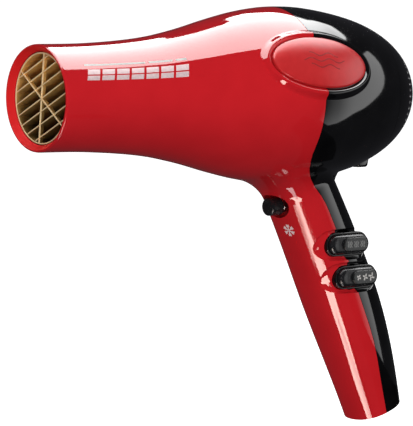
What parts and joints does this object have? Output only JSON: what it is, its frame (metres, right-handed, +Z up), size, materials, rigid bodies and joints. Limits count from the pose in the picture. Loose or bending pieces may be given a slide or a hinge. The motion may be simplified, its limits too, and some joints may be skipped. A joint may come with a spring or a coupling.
{
  "type": "hair dryer",
  "caption": "Pistol-grip hair dryer with a bulging barrel, slatted outlet grille, domed intake cover, side rocker switches and a cool-shot button.",
  "frame": {"origin": "centre of the bounding box of the whole dryer", "axes": "+X runs along the barrel from the outlet to the intake, +Z is up with the handle hanging down and leaning towards +X, and the rocker switches are on the -Y side"},
  "size_m": [0.244, 0.098, 0.2272],
  "materials": {
    "red_gloss": "gloss",
    "badge_red": "satin",
    "black_gloss": "gloss",
    "gold": "satin gold coating",
    "steel": "satin",
    "copper": "satin",
    "nylon": "matte",
    "graphite": "matte",
    "rubber": "matte",
    "mica": "matte",
    "brown_insulation": "satin",
    "blue_insulation": "satin"
  },
  "bodies": {
    "housing": {"front_housing": "red_gloss", "rear_housing": "black_gloss", "outlet_grille": "gold", "badge_left": "badge_red", "badge_right": "badge_red", "heat_bezel": "black_gloss", "speed_bezel": "black_gloss", "heat_switch": "nylon", "speed_switch": "nylon", "cool_shot_spring": "steel", "cool_shot_switch": "nylon", "front_bearing": "steel", "rear_bearing": "steel", "motor_front_cover": "steel", "motor_field_core": "steel", "motor_rear_cover": "nylon", "carbon_brush_1": "graphite", "carbon_brush_2": "graphite", "motor_mount": "nylon", "rubber_mount": "rubber", "heater_tube": "mica", "mica_board_upright": "mica", "mica_board_flat": "mica", "heating_coil_1": "steel", "heating_coil_2": "steel", "thermostat": "nylon", "thermal_fuse": "steel", "cord_gland": "rubber", "cord_clamp": "nylon", "clamp_screw_1": "steel", "clamp_screw_2": "steel", "housing_screw_1": "steel", "housing_screw_2": "steel", "live_wire": "brown_insulation", "neutral_wire": "blue_insulation"},
    "rotor": {"motor_shaft": "steel", "armature": "copper", "commutator": "copper", "fan_impeller": "nylon"},
    "heat_rocker": {"heat_rocker": "black_gloss"},
    "speed_rocker": {"speed_rocker": "black_gloss"},
    "cool_shot_button": {"cool_shot_button": "black_gloss"},
    "filter_cover": {"filter_cover": "black_gloss", "filter_screen": "steel"},
    "filter_latch": {"filter_latch": "black_gloss"}
  },
  "joints": [
    {"name": "fan_spin", "type": "hinge", "parent": "housing", "child": "rotor", "pos_m": [0.06805, 0, 0.06669], "axis": [1, 0, 0], "continuous": true},
    {"name": "heat_rock", "type": "hinge", "parent": "housing", "child": "heat_rocker", "pos_m": [0.06865, -0.0132, -0.01371], "axis": [0, 0, 1], "range_deg": [-8, 8]},
    {"name": "speed_rock", "type": "hinge", "parent": "housing", "child": "speed_rocker", "pos_m": [0.07525, -0.0132, -0.03191], "axis": [0, 0, 1], "range_deg": [-8, 8]},
    {"name": "cool_shot_press", "type": "slide", "parent": "housing", "child": "cool_shot_button", "axis": [1, 0, 0], "range_m": [0, 0.0025], "stiffness_N_per_m": 600, "springref_m": -0.001, "deforming": ["cool_shot_spring"]},
    {"name": "filter_cover_pull", "type": "slide", "parent": "housing", "child": "filter_cover", "axis": [1, 0, 0], "range_m": [0, 0.04]},
    {"name": "filter_latch_press", "type": "slide", "parent": "filter_cover", "child": "filter_latch", "axis": [0, 0, 1], "range_m": [0, 0.0015], "stiffness_N_per_m": 400, "springref_m": -0.001}
  ]
}
